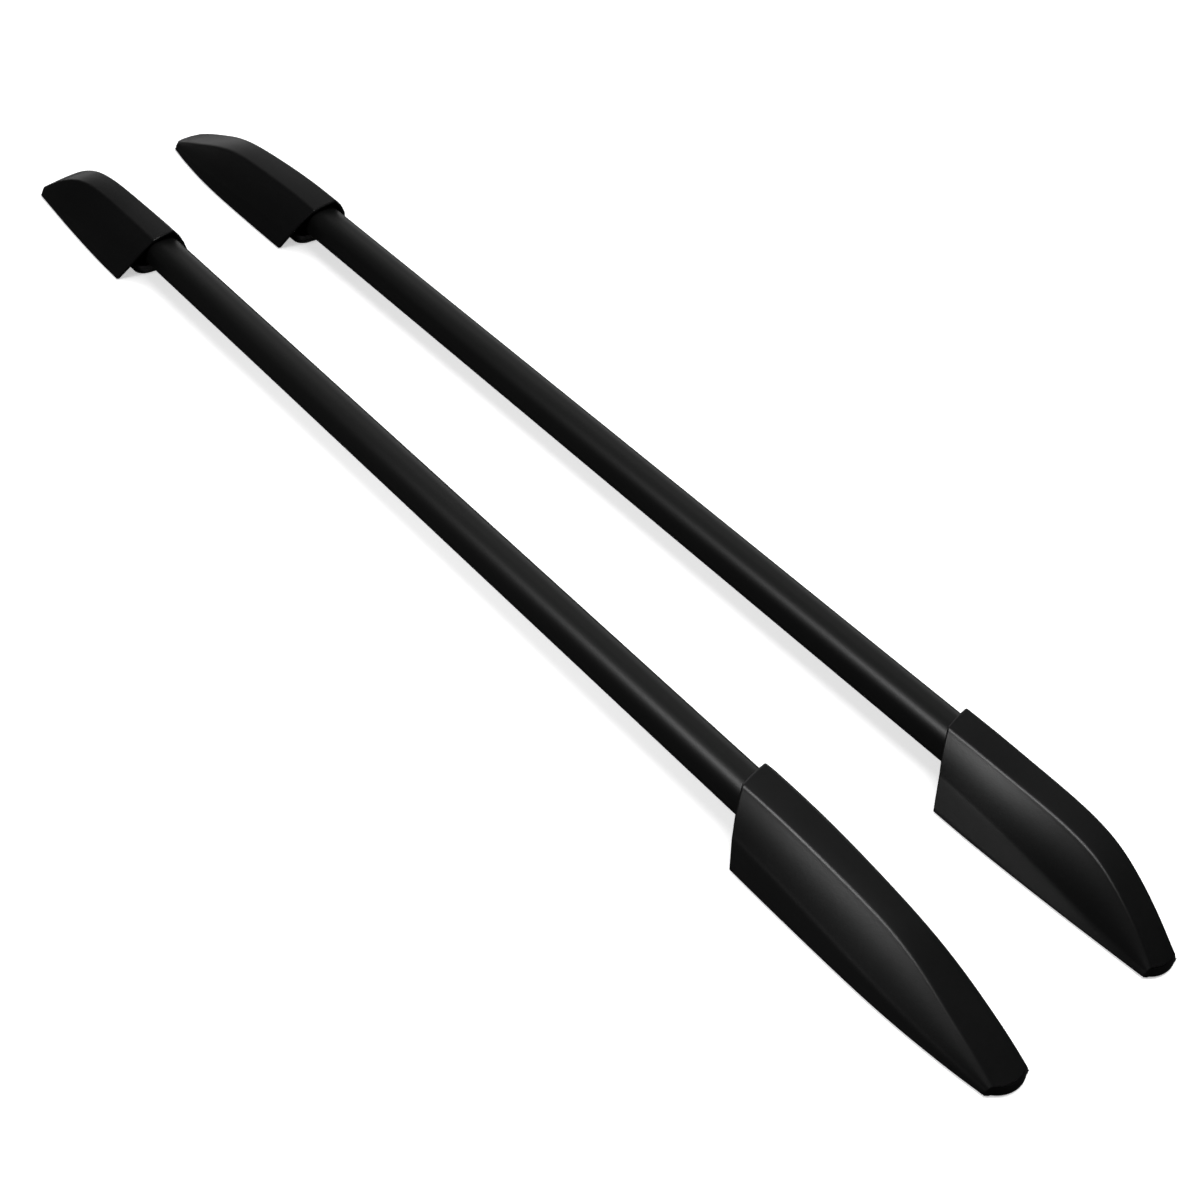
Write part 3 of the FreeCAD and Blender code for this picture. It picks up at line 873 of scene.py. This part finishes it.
@dataclass
class ScrewGroup:
    """A row of pan-head screws that point up, set out by a node tree from one turned screw.

    edge_steps are the insets and heights of the head's rounded edge, as multiples of that edge's size.
    """

    node: str
    size: ScrewSize
    count: int = 2
    sides: int = 36
    threads: int = 12
    recess_share: float = 0.45
    recess_depth_share: float = 0.6
    edge_share: float = 0.22
    edge_steps: tuple[tuple[float, float], ...] = ((2.0, 0.0), (1.0, 0.4), (0.0, 1.6))
    thread_root_share: float = 0.86
    tip_share: float = 0.8

    def profile(self, length: float) -> list[tuple[float, float, bool]]:
        """Lists the screw's turned outline, from the middle of its drive to its tip.

        Args:
            length: the shank's length.

        Returns:
            Radius, height and whether the ring is the drive's hexagon.
        """
        head, height, shank = self.size.head_radius, self.size.head_height, self.size.shank_radius
        recess = head * self.recess_share
        edge = height * self.edge_share
        rings = [(recess, height * self.recess_depth_share, True), (recess, 0.0, True)]
        rings += [(head - edge * inset, edge * rise, False) for inset, rise in self.edge_steps]
        rings.append((head, height, False))
        pitch = length / (self.threads + 1)
        for turn in range(self.threads):
            foot = height + pitch * turn
            rings += [(shank * self.thread_root_share, foot, False), (shank, foot + pitch / 2, False)]
        return rings + [(shank * self.tip_share, height + length, False)]

    def template(self, length: float) -> bpy.types.Object:
        """Turns one screw about the vertical.

        Args:
            length: the shank's length.

        Returns:
            The screw, standing on its head at the origin.
        """
        mesh = bmesh.new()
        grid = []
        wedge = math.pi / 3
        for radius, height, drive in self.profile(length):
            ring = []
            for side in range(self.sides):
                angle = 2 * math.pi * side / self.sides
                flat = math.cos(angle % wedge - wedge / 2)
                reach = radius * math.cos(wedge / 2) / flat if drive else radius
                ring.append(mesh.verts.new((reach * math.cos(angle), reach * math.sin(angle), height)))
            grid.append(ring)
        for low, high in zip(grid, grid[1:]):
            for side in range(self.sides):
                after = (side + 1) % self.sides
                mesh.faces.new((low[side], low[after], high[after], high[side]))
        mesh.faces.new(grid[0])
        mesh.faces.new(grid[-1])
        bmesh.ops.recalc_face_normals(mesh, faces=mesh.faces)
        return new_object(f"{self.node}_screw", plain_mesh(f"{self.node}_screw", mesh))

    def build(self) -> bpy.types.Object:
        """Sets the screws out at their places in the node.

        Returns:
            The screws as one piece.
        """
        low, high = (Vector(corner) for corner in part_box(self.node))
        screw = self.template(high.z - low.z - self.size.head_height)
        piece = new_object(f"{self.node}_turned", bpy.data.meshes.new(f"{self.node}_turned"))
        row = piece.modifiers.new("row", "NODES")
        row.node_group = self.row_tree()
        head = self.size.head_radius
        middle = (low.y + high.y) / 2
        step = (high.x - low.x - 2 * head) / (self.count - 1)
        fill_inputs(row, {
            "Screw": screw, "Count": self.count, "Step": (step, 0.0, 0.0),
            "Start": (low.x + head, middle, low.z), "Finish Material": SCREW_ZINC.material(),
        })
        baked(piece)
        bpy.data.objects.remove(screw)
        seat(piece, self.node)
        return piece

    @staticmethod
    def row_tree() -> bpy.types.NodeTree:
        """Makes the tree that repeats a screw along a row.

        Returns:
            The node tree, made once.
        """
        kinds = {"Screw": "NodeSocketObject", "Count": "NodeSocketInt", "Step": "NodeSocketVector",
                 "Start": "NodeSocketVector", "Finish Material": "NodeSocketMaterial"}

        def draw(sheet: NodeSheet, given: Callable[[str], Sock]) -> Sock:
            """Draws the row of screws."""
            line = sheet.add("GeometryNodeMeshLine", {}, {
                "Count": given("Count"), "Start Location": given("Start"), "Offset": given("Step"),
            })
            shape = sheet.add("GeometryNodeObjectInfo", {}, {"Object": given("Screw")}, "Geometry")
            return sheet.add("GeometryNodeInstanceOnPoints", {}, {"Points": line, "Instance": shape})

        return node_tree("screw_row", kinds, draw)


@dataclass
class CarriedNode:
    """A node that keeps its own mesh and gets a finish."""

    node: str
    finish: Finish

    def build(self) -> None:
        """Assigns the finish to the node's material slots."""
        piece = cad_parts[self.node]
        if not piece.material_slots:
            piece.data.materials.append(self.finish.material())
        for slot in piece.material_slots:
            slot.material = self.finish.material()
        LOG.info("%s: dressed with %s", self.node, self.finish.name)


@dataclass
class Rail:
    """One rail: its tube, two covers, feet, gaskets and screws."""

    side: Side

    def build(self) -> None:
        """Builds and dresses the rail's pieces."""
        name = self.side.value
        OvalTube(f"{name}_tube").build()
        low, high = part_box(f"{name}_tube")
        axis = (low[1] + high[1]) / 2
        for end in End:
            stem = f"{name}_{end.value}"
            forward = (end is End.FRONT) == (self.side is Side.LEFT)
            low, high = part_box(f"{stem}_cover")
            EndCover(
                node=f"{stem}_cover",
                stations=STATIONS[end],
                tip_sag=TIP_SAG[end],
                direction=1 if forward else -1,
                mouth=low[0] if forward else high[0],
                axis=axis,
            ).build()
            CarriedNode(f"{stem}_foot", FOOT_CASTING).build()
            CarriedNode(f"{stem}_gasket", GASKET_RUBBER).build()
            ScrewGroup(f"{stem}_tube_screws", TUBE_SCREW).build()
            ScrewGroup(f"{stem}_cover_screws", COVER_SCREW).build()


# Studio


@dataclass(frozen=True)
class Softbox:
    """A rectangular lamp: where it hangs, what it points at, its sides in metres and its power in watts."""

    name: str
    place: tuple[float, float, float]
    aim: tuple[float, float, float]
    width: float
    depth: float
    power: float
    mirrored: bool = True

    def build(self) -> None:
        """Hangs the lamp, which glossy surfaces may or may not mirror."""
        data = bpy.data.lights.new(self.name, "AREA")
        data.shape = "RECTANGLE"
        data.size = self.width
        data.size_y = self.depth
        data.energy = self.power
        lamp = bpy.data.objects.new(self.name, data)
        bpy.context.scene.collection.objects.link(lamp)
        lamp.location = self.place
        lamp.rotation_euler = (Vector(self.aim) - Vector(self.place)).to_track_quat("-Z", "Y").to_euler()
        lamp.visible_glossy = self.mirrored
        LOG.info("%s: %.0f W", self.name, self.power)


CREASE_SOFTBOX = Softbox(
    name="crease_softbox", place=(-0.13, -0.92, 0.99), aim=(0.65, -0.05, 0.03),
    width=0.50, depth=0.36, power=9.5)
CEILING_SOFTBOX = Softbox(
    name="ceiling_softbox", place=(0.20, 1.10, 2.60), aim=(0.0, 0.0, 0.0),
    width=3.6, depth=2.6, power=125.0, mirrored=False)


def grey(level: float) -> tuple[float, float, float, float]:
    """Gives a neutral colour of one brightness."""
    return (level, level, level, 1.0)


@dataclass(frozen=True)
class Studio:
    """White table, soft lamps and the camera at the photograph's angle.

    Stops are places and levels of a ramp. floor_fade runs from the table's middle to its edge, sky_haze from
    the horizon up, sky_behind towards -X and sky_inner towards +Y.
    """

    eye: tuple[float, float, float] = (1.5814, -0.9557, 1.2671)
    heading: tuple[float, float] = (-0.8295, 0.5585)
    tilt_deg: float = 37.07
    lens_mm: float = 72.0
    sensor_mm: float = 36.0
    view_reach: float = 50.0
    floor_size: float = 12.0
    floor_colour: float = 0.86
    floor_bounce: float = 0.03
    floor_glow: float = 0.50
    floor_depth: float = 0.0003
    floor_fade: tuple[tuple[float, float], ...] = ((0.30, 0.0), (0.55, 1.0))
    sky_base: float = 0.03
    sky_haze: tuple[tuple[float, float], ...] = ((0.0, 1.0), (0.2, 0.7), (0.4, 0.17), (1.0, 0.17))
    sky_behind: tuple[tuple[float, float], ...] = ((0.60, 0.0), (0.75, 1.0))
    sky_inner: tuple[tuple[float, float], ...] = ((0.40, 0.0), (0.50, 1.0))

    def build(self) -> None:
        """Builds the stage."""
        self.camera()
        self.floor()
        self.world()
        for softbox in (CREASE_SOFTBOX, CEILING_SOFTBOX):
            softbox.build()
        bpy.context.scene.view_settings.view_transform = "Standard"

    def camera(self) -> None:
        """Sets the camera from its fitted place, heading and tilt."""
        data = bpy.data.cameras.new("camera")
        data.lens = self.lens_mm
        data.sensor_width = self.sensor_mm
        data.clip_end = self.view_reach
        camera = bpy.data.objects.new("camera", data)
        bpy.context.scene.collection.objects.link(camera)
        tilt = math.radians(self.tilt_deg)
        flat = Vector((*self.heading, 0.0)).normalized() * math.cos(tilt)
        look = Vector((flat.x, flat.y, -math.sin(tilt)))
        camera.location = self.eye
        camera.rotation_euler = look.to_track_quat("-Z", "Y").to_euler()
        bpy.context.scene.camera = camera

    def floor(self) -> None:
        """Lays the table a hair below the gaskets."""
        mesh = bmesh.new()
        bmesh.ops.create_grid(mesh, x_segments=1, y_segments=1, size=self.floor_size / 2)
        bmesh.ops.translate(mesh, verts=mesh.verts, vec=(0.0, 0.0, -self.floor_depth))
        table = new_object("table", plain_mesh("table", mesh))
        table.data.materials.append(self.floor_paint())

    def floor_paint(self) -> bpy.types.Material:
        """Makes the table's paint.

        The camera sees it as white with a little glow, and as plain white further out. All other rays see
        it as dull, so that the black pieces mirror little of it.

        Returns:
            The material.
        """
        made = bpy.data.materials.new("white_table")
        made.use_nodes = True
        sheet = NodeSheet(made.node_tree)
        seen = sheet.add("ShaderNodeLightPath", {}, {}, "Is Camera Ray")
        dull = sheet.add("ShaderNodeBsdfDiffuse", {}, {"Color": grey(self.floor_bounce)})
        white = sheet.add("ShaderNodeBsdfDiffuse", {}, {"Color": grey(self.floor_colour)})
        glow = sheet.add("ShaderNodeEmission", {}, {"Color": grey(1.0), "Strength": self.floor_glow})
        bright = sheet.add("ShaderNodeAddShader", {}, {0: white, 1: glow})
        plain = sheet.add("ShaderNodeEmission", {}, {"Color": grey(1.0), "Strength": 1.0})
        reach = sheet.add("ShaderNodeVectorMath", {"operation": "LENGTH"},
                          {0: sheet.object_coordinates()}, "Value")
        far = sheet.add("ShaderNodeValToRGB", {"stops": self.floor_fade},
                        {"Fac": reach * (2 / self.floor_size)})
        table_top = sheet.add("ShaderNodeMixShader", {}, {0: far, 1: bright, 2: plain})
        surface = sheet.add("ShaderNodeMixShader", {}, {0: seen, 1: dull, 2: table_top})
        sheet.add("ShaderNodeOutputMaterial", {}, {"Surface": surface})
        return made

    def world(self) -> None:
        """Makes a dim sky with a pale haze behind the object, which the camera sees as plain white."""
        world = bpy.data.worlds.new("studio_sky")
        bpy.context.scene.world = world
        world.use_nodes = True
        sheet = NodeSheet(world.node_tree)
        seen = sheet.add("ShaderNodeLightPath", {}, {}, "Is Camera Ray")
        direction = sheet.add("ShaderNodeTexCoord", {}, {}, "Generated")
        along = sheet.add("ShaderNodeSeparateXYZ", {}, {"Vector": direction}, "X")
        across = sheet.add("ShaderNodeSeparateXYZ", {}, {"Vector": direction}, "Y")
        height = sheet.add("ShaderNodeSeparateXYZ", {}, {"Vector": direction}, "Z")
        low = sheet.add("ShaderNodeValToRGB", {"stops": self.sky_haze}, {"Fac": height})
        behind = sheet.add("ShaderNodeValToRGB", {"stops": self.sky_behind}, {"Fac": 0.5 - along * 0.5})
        inner = sheet.add("ShaderNodeValToRGB", {"stops": self.sky_inner}, {"Fac": 0.5 + across * 0.5})
        haze = sheet.add("ShaderNodeBackground", {}, {"Color": self.sky_base + low * behind * inner})
        white = sheet.add("ShaderNodeBackground", {}, {"Color": grey(1.0)})
        sky = sheet.add("ShaderNodeMixShader", {}, {0: seen, 1: haze, 2: white})
        sheet.add("ShaderNodeOutputWorld", {}, {"Surface": sky})


def main() -> None:
    """Builds the rails and the stage."""
    logging.basicConfig(level=logging.INFO, format="%(name)s %(message)s")
    for side in Side:
        Rail(side).build()
    Studio().build()


if __name__ == "__main__":
    main()
